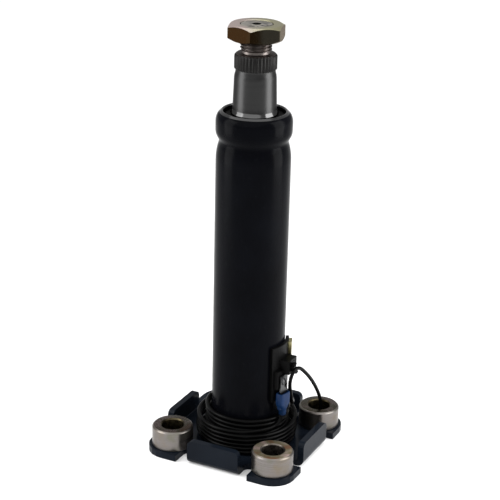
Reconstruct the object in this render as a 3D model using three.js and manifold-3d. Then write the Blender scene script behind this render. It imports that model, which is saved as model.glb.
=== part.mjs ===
// Steering column for a hydrostatic steering unit: a fixed tube on a stamped base plate, with the
// steering shaft on a ball bearing inside it, and a horn contact (brush, slip ring and lead) near
// the foot. Millimetres, +Z up. The origin is on the tube's axis, at the underside of the base
// plate. The base plate's sides lie along X and Y, and the brush holder is on the +X side.
import * as THREE from 'three';
import { mergeVertices } from 'three/addons/utils/BufferGeometryUtils.js';
import Module from 'manifold-3d';

const wasm = await Module();
wasm.setup();

// ---- driving dimensions -------------------------------------------------------------------

const GAP = 0.3; // clearance between neighbouring pieces
const SNUG = 0.1; // clearance of a press or push fit, all round
const ROUND = 36; // facets of a large round
const FINE = 20; // facets of a small round

const base = {
  half: 41.6,
  cornerR: 12,
  thick: 3.4,
  boltPitch: 58.4, // an 82.6 mm bolt circle
  boltHoleR: 5.4,
  centreHoleR: 15.3,
  flangeHalf: 14.7,
  flangeFace: 40.2,
  flangeTop: 13.4,
  flangeCornerR: 3,
  bendR: 3.9,
  slotWidth: 6, // relief slot between an ear and a flange
  slotDepth: 8.6,
};
const spacer = { outerR: 10.8, boreR: 5.8, height: 11, chamfer: 0.8 };
const tube = {
  outerR: 19,
  wall: 1.9,
  neckZ: 167.4,
  neckR: 17.5,
  beadR: 19.35,
  beadLow: 172.6,
  beadHigh: 178,
  lipZ: 182.8,
  mouthR: 15.6,
  windowHalf: 4.6,
};
const bearing = {
  boreR: 8.5,
  outerR: 17.5,
  low: 171,
  width: 8,
  pitchR: 13,
  ballR: 2.3,
  ballRoom: 0.25,
  innerLandR: 11.5,
  outerLandR: 14.5,
  balls: 9,
};
const shaft = {
  endZ: 31,
  circlipZ: 168.9,
  collarZ: 179.3,
  collarR: 11,
  slingerR: 12,
  slingerZ: 181.5,
  coneLowZ: 185,
  coneTopZ: 200.5,
  coneTopR: 10.5,
  grooveR: 9.95,
  serrationZ: 204,
  serrationTopZ: 211.8,
  serrationR: 10.65,
  serrationRootR: 10.1,
  teeth: 36,
  threadR: 7.9,
  topZ: 226.2,
  boreR: 2,
  boreEndZ: 45,
  wireHoleR: 1.5,
};
const nut = { acrossFlats: 26, low: 218.4, height: 8, cornerAngle: -15.2 };
const cage = { thick: 1.4, height: 6.4, pocketRoom: 0.2 };
const circlip = { grooveDepth: 0.75, grooveWidth: 1.4, outerR: 10.5, thick: 1.1, openFrom: 20, openTo: 340 };
const nutChamfer = 1.4; // how far the corners' chamfer reaches down the nut
const contactZ = 49; // height of the brush's axis
const slipRing = { outerR: 12.2, innerR: 10.5, height: 9 };
const spool = { height: 16, rimR: 12.8, rimHeight: 1.6 };
const coupling = { low: 5, top: 38, outerR: 13, boreR: 8.6, socketTop: 28, socketR: 9.3, teeth: 13 };
const pin = { r: 2, z: 34.4, length: 25 };
const bush = { low: 14, height: 12, innerR: 13.3 };
const holder = {
  innerR: 19.3,
  outerR: 21.1,
  from: -28,
  to: 30,
  low: 30,
  top: 60.4,
  blockOut: 25.8,
  blockHalf: 4.6,
  blockLow: 45.3,
  blockTop: 52.7,
  boreR: 2.8,
};
const brush = { r: 2.45, from: 12.5, to: 18.9 };
const spring = { meanR: 2, wireR: 0.3, from: 19.5, to: 24, turns: 5, stepsPerTurn: 10 };
const plug = { r: 2.6, thick: 1.2 };
const tab = { angle: -13, r: 23.7, width: 4.8, thick: 0.8, low: 27, top: 44.9, rivetZ: 41.4 };
const boss = { width: 8, low: 37.5, top: 47.5, outerR: 23 };
const terminal = { width: 7.8, thick: 4.6, low: 22.4, top: 35.2, slotDepth: 9 };
const strap = { thick: 1.6, from: 14.5, low: 50.4, height: 8.6 };
const hook = { wall: 1.5, width: 2, halfAngle: 110 };
const lead = { r: 1, sides: 8, boreR: 1.3 };
const coil = { innerR: 20.3, outerR: 27.2, low: 3.8, top: 22, round: 2.4, weldRoom: [1.8, 2.9] };
const weld = { leg: 2.4 };

// The lead's route after its coil: up beside the terminal, over the hook on the brush housing, out
// in a bow and down into the bore of the right spacer.
const leadTailRoute = [
  [22.6, 9.4, 23.2],
  [23.3, 6.6, 23.5],
  [23.8, 4.4, 24.9],
  [24.1, 3, 27.6],
  [24.4, 1.9, 31.2],
  [25, -0.8, 35.6],
  [25.9, -3.7, 39.6],
  [26.8, -5, 43],
  [27.3, -4.6, 46.5],
  [27.8, -1.7, 48.7],
  [28.4, 1.5, 48.5],
  [28.9, 3.4, 47],
  [29.6, 6.6, 43.6],
  [30.3, 11, 39.4],
  [30.8, 16.4, 33.4],
  [30.8, 21.4, 27.4],
  [30.3, 26, 21.9],
  [29.6, 30, 17.2],
  [28.9, 32.5, 12.4],
  [28.8, 33, 4.6],
];
const hookAt = 9; // the route's point that the hook goes round

// ---- materials ----------------------------------------------------------------------------

function finish(color, roughness, metalness) {
  return new THREE.MeshStandardMaterial({ color, roughness, metalness });
}
const blackPaint = () => finish(0x15181c, 0.38, 0.1);
const zinc = () => finish(0xc9c2b4, 0.3, 0.9);
const yellowZinc = () => finish(0xa79c6c, 0.32, 0.9);
const steel = () => finish(0x7d7e80, 0.25, 1);
const bearingSteel = () => finish(0xb4b6b8, 0.18, 1);
const brass = () => finish(0xb08d45, 0.35, 1);
const tinned = () => finish(0xc8c9c4, 0.3, 1);
const blackPlastic = () => finish(0x141517, 0.5, 0);
const nylon = () => finish(0xd8d4c4, 0.55, 0);
const rubber = () => finish(0x111112, 0.8, 0);
const carbon = () => finish(0x3a3532, 0.6, 0.3);
const bluePlastic = () => finish(0x24489a, 0.4, 0);
const leadJacket = () => finish(0x0e0f10, 0.45, 0);

// ---- geometry helpers ---------------------------------------------------------------------

const Z_AXIS = new THREE.Vector3(0, 0, 1);
const radians = (degrees) => (degrees * Math.PI) / 180;

// The same surface as indexed triangles that share their corners, with its faces pointing out.
function welded(geometry) {
  const bare = geometry.clone();
  bare.deleteAttribute('normal');
  bare.deleteAttribute('uv');
  const merged = mergeVertices(bare, 1e-4);
  const position = merged.getAttribute('position');
  const index = merged.getIndex().array;
  const [a, b, c] = [new THREE.Vector3(), new THREE.Vector3(), new THREE.Vector3()];
  const kept = [];
  let volume = 0;
  for (let i = 0; i < index.length; i += 3) {
    const [p, q, r] = index.slice(i, i + 3);
    if (p === q || q === r || r === p) continue;
    kept.push(p, q, r);
    a.fromBufferAttribute(position, p);
    b.fromBufferAttribute(position, q);
    c.fromBufferAttribute(position, r);
    volume += a.dot(b.cross(c));
  }
  if (volume < 0) kept.reverse();
  merged.setIndex(kept);
  merged.computeVertexNormals();
  return merged;
}

function toSolid(geometry) {
  const closed = welded(geometry);
  const vertProperties = new Float32Array(closed.getAttribute('position').array);
  const triVerts = new Uint32Array(closed.getIndex().array);
  return new wasm.Manifold(new wasm.Mesh({ numProp: 3, vertProperties, triVerts }));
}

function toGeometry(solid) {
  const mesh = solid.getMesh();
  const geometry = new THREE.BufferGeometry();
  geometry.setAttribute('position', new THREE.BufferAttribute(new Float32Array(mesh.vertProperties), 3));
  geometry.setIndex(new THREE.BufferAttribute(new Uint32Array(mesh.triVerts), 1));
  geometry.computeVertexNormals();
  return geometry;
}

function cut(body, ...tools) {
  return toGeometry(tools.reduce((solid, tool) => solid.subtract(toSolid(tool)), toSolid(body)));
}

function join(body, ...others) {
  return toGeometry(others.reduce((solid, other) => solid.add(toSolid(other)), toSolid(body)));
}

function common(body, other) {
  return toGeometry(toSolid(body).intersect(toSolid(other)));
}

// A solid of revolution about Z. The profile is a list of [radius, height] pairs, and closes on
// itself unless both its ends are on the axis.
function revolve(profile, segments = ROUND) {
  const points = profile.map(([r, z]) => new THREE.Vector2(r, z));
  const onAxis = profile[0][0] === 0 && profile[profile.length - 1][0] === 0;
  if (!onAxis) points.push(points[0].clone());
  return welded(new THREE.LatheGeometry(points, segments).rotateX(Math.PI / 2));
}

function ring(innerR, outerR, height, segments = ROUND) {
  return revolve([[innerR, 0], [outerR, 0], [outerR, height], [innerR, height]], segments);
}

function prism(shape, height, curveSegments = 8) {
  return welded(new THREE.ExtrudeGeometry(shape, { depth: height, bevelEnabled: false, curveSegments }));
}

function rod(r, length, segments = FINE) {
  return welded(new THREE.CylinderGeometry(r, r, length, segments).rotateX(Math.PI / 2));
}

function box(x0, x1, y0, y1, z0, z1) {
  const geometry = new THREE.BoxGeometry(x1 - x0, y1 - y0, z1 - z0);
  return geometry.translate((x0 + x1) / 2, (y0 + y1) / 2, (z0 + z1) / 2);
}

function arcPoints(cx, cz, r, fromDeg, toDeg, steps) {
  return Array.from({ length: steps + 1 }, (_, i) => {
    const angle = radians(fromDeg + ((toDeg - fromDeg) * i) / steps);
    return [cx + r * Math.cos(angle), cz + r * Math.sin(angle)];
  });
}

function polygon(points) {
  return new THREE.Shape(points.map(([x, y]) => new THREE.Vector2(x, y)));
}

function roundedRectangle(halfX, halfY, r) {
  const corners = [
    [halfX - r, halfY - r, 0],
    [r - halfX, halfY - r, 90],
    [r - halfX, r - halfY, 180],
    [halfX - r, r - halfY, 270],
  ];
  return polygon(corners.flatMap(([x, y, from]) => arcPoints(x, y, r, from, from + 90, 6)));
}

// A plain curved plate round Z, between two radii and two angles.
function sector(innerR, outerR, fromDeg, toDeg, steps) {
  const outside = arcPoints(0, 0, outerR, fromDeg, toDeg, steps);
  const inside = arcPoints(0, 0, innerR, toDeg, fromDeg, steps);
  return polygon([...outside, ...inside]);
}

// A round of teeth as [x, y] points, for an external serration or an internal spline. The shares
// of a tooth's pitch say where its corners are: the first half at the root, the rest at the tip.
function toothedRound(tipR, rootR, teeth, shares) {
  const points = [];
  for (let i = 0; i < teeth; i += 1) {
    shares.forEach((share, k) => {
      const r = k < shares.length / 2 ? rootR : tipR;
      const angle = radians(((i + share) * 360) / teeth);
      points.push([r * Math.cos(angle), r * Math.sin(angle)]);
    });
  }
  return points;
}

function wireAlong(curve, r, sides, steps) {
  const section = new THREE.Shape();
  for (let i = 0; i < sides; i += 1) {
    const angle = radians((360 * (i + 0.5)) / sides);
    const place = [r * Math.cos(angle), r * Math.sin(angle)];
    if (i === 0) section.moveTo(...place);
    else section.lineTo(...place);
  }
  return welded(new THREE.ExtrudeGeometry(section, { steps, extrudePath: curve, bevelEnabled: false }));
}

// ---- the assembly -------------------------------------------------------------------------

const column = new THREE.Group();
const upperBearing = new THREE.Group();
const steering = new THREE.Group();
const hornContact = new THREE.Group();
column.add(upperBearing, steering, hornContact);

function add(parent, name, geometry, material, x = 0, y = 0, z = 0) {
  const mesh = new THREE.Mesh(geometry, material);
  mesh.name = name;
  mesh.position.set(x, y, z);
  parent.add(mesh);
  return mesh;
}

// ---- base plate, its spacers and the tube -------------------------------------------------

// One side's flange, bent up from the plate with a round bend; it stands on the +Y side.
function upturnedFlange() {
  const { flangeHalf, flangeFace, flangeTop, flangeCornerR, bendR, thick } = base;
  const bendY = flangeFace - bendR;
  const outer = arcPoints(bendY, bendR, bendR, -90, 0, 5);
  const inner = arcPoints(bendY, bendR, bendR - thick, 0, -90, 5);
  const insideY = bendY - 2;
  const profile = [
    [insideY, 0],
    ...outer,
    [flangeFace, flangeTop],
    [flangeFace - thick, flangeTop],
    ...inner,
    [insideY, thick],
  ];
  const length = 2 * flangeHalf;
  const bent = prism(polygon(profile), length).rotateX(Math.PI / 2).rotateZ(Math.PI / 2);
  bent.translate(-flangeHalf, 0, 0);
  const front = roundedRectangle(flangeHalf, flangeTop, flangeCornerR);
  const trimmer = prism(front, 2 * base.half).rotateX(Math.PI / 2).translate(0, 2 * base.half, 0);
  return common(bent, trimmer);
}

function basePlate() {
  const { half, cornerR, thick, boltPitch, flangeHalf, flangeFace, bendR, slotWidth, slotDepth } = base;
  const slotX = flangeHalf + slotWidth / 2;
  const pocketY = flangeFace - bendR - 1;
  const tools = [rod(base.centreHoleR, 4 * thick, ROUND)];
  const flanges = [];
  for (let side = 0; side < 4; side += 1) {
    const turn = (side * Math.PI) / 2;
    const pocket = box(-slotX, slotX, pocketY, half + 1, -thick, 2 * thick);
    tools.push(pocket.rotateZ(turn));
    for (const sign of [-1, 1]) {
      const slotEnd = rod(slotWidth / 2, 4 * thick, FINE).translate(sign * slotX, half - slotDepth, 0);
      const slot = box(-slotWidth / 2, slotWidth / 2, 0, slotDepth + 1, -thick, 2 * thick);
      slot.translate(sign * slotX, half - slotDepth, 0);
      tools.push(slotEnd.rotateZ(turn), slot.rotateZ(turn));
    }
    const hole = rod(base.boltHoleR, 4 * thick).translate(boltPitch / 2, boltPitch / 2, 0);
    tools.push(hole.rotateZ(turn));
    flanges.push(upturnedFlange().rotateZ(turn));
  }
  const blank = prism(roundedRectangle(half, half, cornerR), thick);
  return join(cut(blank, ...tools), ...flanges);
}

add(column, 'base_plate', basePlate(), blackPaint());

function spacerSleeve() {
  const { outerR, boreR, height, chamfer } = spacer;
  return revolve([
    [boreR, 0],
    [outerR, 0],
    [outerR, height - chamfer],
    [outerR - chamfer, height],
    [boreR + chamfer / 2, height],
    [boreR, height - chamfer / 2],
  ], 32);
}

const boltAt = base.boltPitch / 2;
const spacerPlaces = { spacer_left: [-1, -1], spacer_front: [1, -1], spacer_right: [1, 1] };
for (const [name, [sx, sy]] of Object.entries(spacerPlaces)) {
  add(column, name, spacerSleeve(), zinc(), sx * boltAt, sy * boltAt, base.thick + 0.05);
}

function columnTube() {
  const { outerR, wall, neckZ, neckR, beadR, beadLow, beadHigh, lipZ, mouthR } = tube;
  const foot = base.thick + GAP;
  const seatR = bearing.outerR + SNUG;
  const outside = [
    [outerR, foot],
    [outerR, neckZ - 9],
    [outerR - 0.25, neckZ - 6],
    [outerR - 0.8, neckZ - 3],
    [neckR, neckZ],
    [neckR + 0.7, neckZ + 1.8],
    [beadR - 0.35, neckZ + 3.4],
    [beadR, beadLow],
    [beadR, beadHigh],
    [beadR - 0.4, beadHigh + 1.7],
    [beadR - 1.2, beadHigh + 3.5],
    [beadR - 2.1, lipZ - 0.9],
    [mouthR + 1.2, lipZ],
  ];
  const inside = [
    [mouthR, lipZ - 0.6],
    [mouthR, bearing.low + bearing.width + 2],
    [seatR - 0.8, bearing.low + bearing.width + 0.8],
    [seatR, bearing.low + bearing.width + GAP],
    [seatR, bearing.low - GAP],
    [neckR - wall, neckZ + 1],
    [neckR - wall, neckZ - 1],
    [outerR - wall, neckZ - 6],
    [outerR - wall, foot],
  ];
  const { windowHalf } = tube;
  const window = box(0, 2 * outerR, -windowHalf, windowHalf, contactZ - windowHalf, contactZ + windowHalf);
  return cut(revolve([...outside, ...inside]), window);
}

add(column, 'column_tube', columnTube(), blackPaint());

const weldR = tube.outerR + SNUG;
add(column, 'weld_bead', revolve([
  [weldR, base.thick + GAP],
  [weldR + weld.leg, base.thick + GAP],
  [weldR + weld.leg / 2, base.thick + GAP + weld.leg * 0.7],
  [weldR, base.thick + GAP + weld.leg],
]), blackPaint());

const bushRing = ring(bush.innerR, tube.outerR - tube.wall - SNUG, bush.height);
add(column, 'lower_bush', bushRing, nylon(), 0, 0, bush.low);

const sealLow = bearing.low + bearing.width + GAP;
add(column, 'dust_seal', revolve([
  [shaft.collarR + GAP, 0.5],
  [shaft.collarR + GAP + 0.5, 0],
  [tube.mouthR - GAP, 0],
  [tube.mouthR - GAP, 1.2],
  [shaft.collarR + GAP + 0.5, 1.6],
  [shaft.collarR + GAP, 1.3],
]), rubber(), 0, 0, sealLow);

// ---- the upper bearing --------------------------------------------------------------------

const ballZ = bearing.width / 2;
const grooveR = bearing.ballR + bearing.ballRoom;

// Half-angle over which a raceway's groove cuts into its ring, in degrees.
function grooveAngle(landR) {
  return (Math.acos(Math.abs(landR - bearing.pitchR) / grooveR) * 180) / Math.PI;
}

function innerRace() {
  const half = grooveAngle(bearing.innerLandR);
  const bore = bearing.boreR + SNUG;
  const groove = arcPoints(bearing.pitchR, ballZ, grooveR, 180 + half, 180 - half, 6);
  return revolve([
    [bore, 0],
    [bearing.innerLandR, 0],
    ...groove,
    [bearing.innerLandR, bearing.width],
    [bore, bearing.width],
  ]);
}

function outerRace() {
  const half = grooveAngle(bearing.outerLandR);
  const groove = arcPoints(bearing.pitchR, ballZ, grooveR, half, -half, 6);
  return revolve([
    [bearing.outerLandR, 0],
    [bearing.outerR, 0],
    [bearing.outerR, bearing.width],
    [bearing.outerLandR, bearing.width],
    ...groove,
  ]);
}

function ballCage() {
  const blank = ring(
    bearing.pitchR - cage.thick / 2,
    bearing.pitchR + cage.thick / 2,
    cage.height,
  ).translate(0, 0, ballZ - cage.height / 2);
  const pockets = [];
  for (let i = 0; i < bearing.balls; i += 1) {
    const pocket = rod(bearing.ballR + cage.pocketRoom, 2 * bearing.ballR, 12).rotateY(Math.PI / 2);
    pocket.translate(bearing.pitchR, 0, ballZ);
    pockets.push(pocket.rotateZ((2 * Math.PI * i) / bearing.balls));
  }
  return cut(blank, ...pockets);
}

upperBearing.position.z = bearing.low;
add(upperBearing, 'bearing_outer_race', outerRace(), bearingSteel());
add(upperBearing, 'bearing_inner_race', innerRace(), bearingSteel());
add(upperBearing, 'bearing_cage', ballCage(), brass());
for (let i = 0; i < bearing.balls; i += 1) {
  const angle = (2 * Math.PI * i) / bearing.balls;
  const ball = welded(new THREE.IcosahedronGeometry(bearing.ballR, 1));
  const place = [bearing.pitchR * Math.cos(angle), bearing.pitchR * Math.sin(angle), ballZ];
  add(upperBearing, `bearing_ball_${i + 1}`, ball, bearingSteel(), ...place);
}

// ---- the steering shaft and what turns with it --------------------------------------------

function crossPinHole() {
  return rod(pin.r + 0.15, 4 * coupling.outerR, 16).rotateX(Math.PI / 2).translate(0, 0, pin.z);
}

function steeringShaft() {
  const journal = bearing.boreR;
  const s = shaft;
  const clipTop = s.circlipZ + circlip.grooveWidth;
  const clipFloor = journal - circlip.grooveDepth;
  const stem = revolve([
    [0, s.endZ],
    [journal - 1, s.endZ],
    [journal, s.endZ + 1],
    [journal, s.circlipZ],
    [clipFloor, s.circlipZ],
    [clipFloor, clipTop],
    [journal, clipTop],
    [journal, s.collarZ],
    [s.collarR, s.collarZ],
    [s.collarR, s.slingerZ],
    [s.slingerR, s.slingerZ],
    [s.slingerR, s.slingerZ + 0.4],
    [s.collarR + 0.35, s.slingerZ + 0.9],
    [s.collarR, s.coneLowZ],
    [s.coneTopR, s.coneTopZ - 0.5],
    [s.coneTopR - 0.5, s.coneTopZ],
    [s.grooveR, s.coneTopZ + 0.5],
    [s.grooveR, s.serrationTopZ - 0.6],
    [s.grooveR - 0.6, s.serrationTopZ],
    [s.threadR - 0.7, s.serrationTopZ],
    [s.threadR - 0.7, s.serrationTopZ + 1.2],
    [s.threadR, s.serrationTopZ + 2],
    [s.threadR, s.topZ - 0.8],
    [s.threadR - 0.8, s.topZ],
    [0, s.topZ],
  ]);
  const outline = polygon(toothedRound(s.serrationR, s.serrationRootR, s.teeth, [0, 0.5]));
  const teeth = prism(outline, s.serrationTopZ - 0.5 - s.serrationZ).translate(0, 0, s.serrationZ);
  const bore = revolve([[0, s.boreEndZ], [s.boreR, s.boreEndZ + 2], [s.boreR, s.topZ + 1], [0, s.topZ + 1]]);
  const wireHole = rod(s.wireHoleR, 2 * journal, 12).rotateY(Math.PI / 2).translate(-journal, 0, contactZ);
  return cut(join(stem, teeth), bore, wireHole, crossPinHole());
}

add(steering, 'steering_shaft', steeringShaft(), steel());

function jamNut() {
  const { acrossFlats, height } = nut;
  const cornerR = acrossFlats / Math.sqrt(3);
  const flatR = acrossFlats / 2;
  const hexagon = polygon(arcPoints(0, 0, cornerR, nut.cornerAngle, nut.cornerAngle + 300, 5));
  const boreR = shaft.threadR + GAP;
  const turned = revolve([
    [boreR + 0.8, 0],
    [flatR - 0.2, 0],
    [cornerR + 0.1, nutChamfer],
    [cornerR + 0.1, height - nutChamfer],
    [flatR - 0.2, height],
    [boreR + 0.8, height],
    [boreR, height - 0.8],
    [boreR, 0.8],
  ]);
  return common(prism(hexagon, height), turned);
}

add(steering, 'jam_nut', jamNut(), yellowZinc(), 0, 0, nut.low);

const clipInnerR = bearing.boreR - circlip.grooveDepth + SNUG;
const clipShape = sector(clipInnerR, circlip.outerR, circlip.openFrom, circlip.openTo, 30);
const clipLow = shaft.circlipZ + (circlip.grooveWidth - circlip.thick) / 2;
add(steering, 'shaft_circlip', prism(clipShape, circlip.thick), steel(), 0, 0, clipLow);

function couplingSleeve() {
  const c = coupling;
  const body = rod(c.outerR, c.top - c.low, ROUND).translate(0, 0, (c.top + c.low) / 2);
  const splines = polygon(toothedRound(c.socketR, c.socketR - 1, c.teeth, [0, 0.3, 0.5, 0.8]));
  const socket = prism(splines, c.socketTop - c.low + 1).translate(0, 0, c.low - 1);
  const bore = rod(c.boreR, c.top - c.socketTop + 2, ROUND).translate(0, 0, (c.top + c.socketTop) / 2);
  return cut(body, socket, bore, crossPinHole());
}

add(steering, 'coupling_sleeve', couplingSleeve(), steel());
const couplingPin = rod(pin.r, pin.length, 16).rotateX(Math.PI / 2);
add(steering, 'coupling_pin', couplingPin, bearingSteel(), 0, 0, pin.z);

function insulatingSpool() {
  const inner = bearing.boreR + SNUG;
  const barrel = slipRing.innerR - SNUG;
  const { height, rimR, rimHeight } = spool;
  return revolve([
    [inner, 0],
    [rimR, 0],
    [rimR, rimHeight],
    [barrel, rimHeight],
    [barrel, height - rimHeight],
    [rimR, height - rimHeight],
    [rimR, height],
    [inner, height],
  ], 32);
}

add(steering, 'slip_ring_spool', insulatingSpool(), blackPlastic(), 0, 0, contactZ - spool.height / 2);
const brassRing = ring(slipRing.innerR, slipRing.outerR, slipRing.height, 32);
add(steering, 'slip_ring', brassRing, brass(), 0, 0, contactZ - slipRing.height / 2);

// ---- the horn contact ---------------------------------------------------------------------

const tailCurve = new THREE.CatmullRomCurve3(leadTailRoute.map((p) => new THREE.Vector3(...p)));

// The hook on the housing's outer face, a short open ring round the lead.
function leadHook() {
  const share = hookAt / (leadTailRoute.length - 1);
  const innerR = lead.r + 2 * GAP;
  const shape = sector(innerR, innerR + hook.wall, -hook.halfAngle, hook.halfAngle, 10);
  const openRing = prism(shape, hook.width).translate(0, 0, -hook.width / 2);
  const turn = new THREE.Matrix4().lookAt(tailCurve.getTangent(share), new THREE.Vector3(), Z_AXIS);
  openRing.applyMatrix4(turn);
  return openRing.translate(...tailCurve.getPoint(share).toArray());
}

// The holder is a saddle against the tube, with the brush's housing on it, a boss for the tab and
// the lead's hook.
function brushHolder() {
  const h = holder;
  const saddle = prism(sector(h.innerR, h.outerR, h.from, h.to, 14), h.top - h.low);
  saddle.translate(0, 0, h.low);
  const housing = box(h.innerR + 0.6, h.blockOut, -h.blockHalf, h.blockHalf, h.blockLow, h.blockTop);
  const nozzle = rod(h.boreR + 1.1, 5.4, 20).rotateY(Math.PI / 2).translate(h.innerR - 1.6, 0, contactZ);
  const pad = box(h.innerR + 0.5, boss.outerR, -boss.width / 2, boss.width / 2, boss.low, boss.top);
  pad.rotateZ(radians(tab.angle));
  const bore = rod(h.boreR, h.blockOut, FINE).rotateY(Math.PI / 2);
  bore.translate(h.blockOut / 2 + 0.05, 0, contactZ);
  return cut(join(saddle, housing, nozzle, pad, leadHook()), bore);
}

add(hornContact, 'brush_holder', brushHolder(), blackPlastic());

const brushRod = rod(brush.r, brush.to - brush.from, 20).rotateY(Math.PI / 2);
add(hornContact, 'contact_brush', brushRod, carbon(), (brush.to + brush.from) / 2, 0, contactZ);

// A compression spring along X, between the brush and the cap.
class SpringCurve extends THREE.Curve {
  getPoint(t, target = new THREE.Vector3()) {
    const angle = 2 * Math.PI * spring.turns * t;
    const x = (spring.to - spring.from) * t;
    return target.set(x, spring.meanR * Math.cos(angle), spring.meanR * Math.sin(angle));
  }
}
const springWire = wireAlong(new SpringCurve(), spring.wireR, 6, spring.turns * spring.stepsPerTurn);
add(hornContact, 'brush_spring', springWire, steel(), spring.from, 0, contactZ);

const brushPlug = rod(plug.r, plug.thick, 20).rotateY(Math.PI / 2);
add(hornContact, 'brush_plug', brushPlug, blackPlastic(), holder.blockOut - plug.thick / 2, 0, contactZ);

// A strap of brass over the saddle, between the housing and the holder's rear edge.
const strapInnerR = holder.outerR + SNUG;
const strapShape = sector(strapInnerR, strapInnerR + strap.thick, strap.from, holder.to, 4);
add(hornContact, 'contact_strap', prism(strapShape, strap.height), brass(), 0, 0, strap.low);

const tabGroup = new THREE.Group();
tabGroup.rotation.z = radians(tab.angle);
hornContact.add(tabGroup);

function contactTab() {
  const outline = roundedRectangle(tab.width / 2, (tab.top - tab.low) / 2, 0.8);
  return prism(outline, tab.thick).rotateX(Math.PI / 2).rotateZ(Math.PI / 2);
}
add(tabGroup, 'contact_tab', contactTab(), tinned(), tab.r - tab.thick / 2, 0, (tab.top + tab.low) / 2);

const rivetHead = revolve([[0, 0], [1.8, 0], [1.5, 0.4], [0.9, 0.6], [0, 0.7]], 16).rotateY(Math.PI / 2);
add(tabGroup, 'tab_rivet', rivetHead, brass(), tab.r + tab.thick / 2 + SNUG, 0, tab.rivetZ);

// The push-on terminal's insulated body, with the slot for the tab and the lead's bore.
function insulatedTerminal() {
  const length = terminal.top - terminal.low;
  const outline = roundedRectangle(terminal.thick / 2, terminal.width / 2, 1.6);
  const body = prism(outline, length);
  const roomX = tab.thick / 2 + GAP;
  const roomY = tab.width / 2 + GAP;
  const slot = box(-roomX, roomX, -roomY, roomY, length - terminal.slotDepth, length + 1);
  const bore = rod(lead.boreR, 8, 12);
  return cut(body, slot, bore);
}
add(tabGroup, 'blue_terminal', insulatedTerminal(), bluePlastic(), tab.r, 0, terminal.low);

// ---- the lead -----------------------------------------------------------------------------

const startZ = coil.top + GAP;
const startLength = terminal.low + 3.6 - startZ;
const leadStart = rod(lead.r, startLength, lead.sides).translate(0, 0, startLength / 2);
add(tabGroup, 'lead_start', leadStart, leadJacket(), tab.r, 0, startZ);

const coilHeight = coil.top - coil.low;
add(column, 'lead_coil', revolve([
  [coil.innerR, coil.weldRoom[1]],
  [coil.innerR + coil.weldRoom[0], 0],
  [coil.outerR - coil.round, 0],
  [coil.outerR, coil.round],
  [coil.outerR, coilHeight - coil.round],
  [coil.outerR - coil.round, coilHeight],
  [coil.innerR, coilHeight],
]), leadJacket(), 0, 0, coil.low);

add(column, 'lead_tail', wireAlong(tailCurve, lead.r, lead.sides, 36), leadJacket());

export default column;
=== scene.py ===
"""The steering column's looks: detailed pieces and procedural materials round the CAD frame."""

import math

import bpy
from mathutils import Matrix, Vector


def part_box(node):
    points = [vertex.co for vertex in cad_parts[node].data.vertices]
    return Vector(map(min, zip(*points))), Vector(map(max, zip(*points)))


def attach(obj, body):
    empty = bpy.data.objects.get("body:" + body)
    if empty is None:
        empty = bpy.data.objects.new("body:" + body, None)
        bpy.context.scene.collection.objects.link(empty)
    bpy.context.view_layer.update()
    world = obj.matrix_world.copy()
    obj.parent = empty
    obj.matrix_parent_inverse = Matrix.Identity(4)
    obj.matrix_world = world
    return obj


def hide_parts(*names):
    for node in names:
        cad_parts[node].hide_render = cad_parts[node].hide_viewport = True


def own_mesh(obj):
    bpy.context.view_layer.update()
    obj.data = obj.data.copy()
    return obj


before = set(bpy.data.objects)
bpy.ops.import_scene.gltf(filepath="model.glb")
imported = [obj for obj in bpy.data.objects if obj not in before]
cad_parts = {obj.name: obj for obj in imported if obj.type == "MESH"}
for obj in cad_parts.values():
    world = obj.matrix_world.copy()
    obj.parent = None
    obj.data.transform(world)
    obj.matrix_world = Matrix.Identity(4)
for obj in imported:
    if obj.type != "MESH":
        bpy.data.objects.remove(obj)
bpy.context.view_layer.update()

MM = 0.001
ROUND = 144  # columns round a large turned piece

# ---- the camera ---------------------------------------------------------------------------


def make_camera(position, azimuth, pitch, roll, lens):
    """A camera that looks down by pitch degrees, turned by azimuth round Z from +Y towards -X."""
    turn, down, lean = (math.radians(a) for a in (azimuth, pitch, roll))
    level = math.cos(down)
    forward = Vector((-math.sin(turn) * level, math.cos(turn) * level, -math.sin(down)))
    right = Vector((math.cos(turn), math.sin(turn), 0))
    up = right.cross(forward)
    leaning_up = math.cos(lean) * up - math.sin(lean) * right
    leaning_right = math.cos(lean) * right + math.sin(lean) * up
    camera = bpy.data.objects.new("camera", bpy.data.cameras.new("camera"))
    camera.data.lens = lens
    camera.data.sensor_width = 36
    camera.data.clip_start = 0.01
    axes = Matrix((leaning_right, leaning_up, -forward)).transposed().to_4x4()
    camera.matrix_world = Matrix.Translation(position) @ axes
    bpy.context.scene.collection.objects.link(camera)
    bpy.context.scene.camera = camera


make_camera(
    Vector((0.3169, -0.65555, 0.38905)), azimuth=25.844, pitch=21.078, roll=1.411, lens=109.5
)

# ---- mesh helpers -------------------------------------------------------------------------


def new_object(name, data):
    obj = bpy.data.objects.new(name, data)
    bpy.context.scene.collection.objects.link(obj)
    return obj


def mesh_object(name, points, faces, smooth_angle=32):
    """A mesh from points in millimetres, smooth except over edges sharper than the angle."""
    mesh = bpy.data.meshes.new(name)
    mesh.from_pydata([Vector(p) * MM for p in points], [], faces)
    mesh.validate()
    mesh.update()
    soften(mesh, smooth_angle)
    return new_object(name, mesh)


def soften(mesh, angle=32):
    mesh.shade_smooth()
    mesh.set_sharp_from_angle(angle=math.radians(angle))


def at(value, angle):
    """A row's radius or height, which may be a function of the angle."""
    return value(angle) if callable(value) else value


def grid_faces(rows, columns, closed_rows):
    faces = []
    last = rows if closed_rows else rows - 1
    for i in range(last):
        for j in range(columns):
            a = i * columns + j
            b = i * columns + (j + 1) % columns
            c = ((i + 1) % rows) * columns + (j + 1) % columns
            d = ((i + 1) % rows) * columns + j
            faces.append((a, b, c, d))
    return faces


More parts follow.
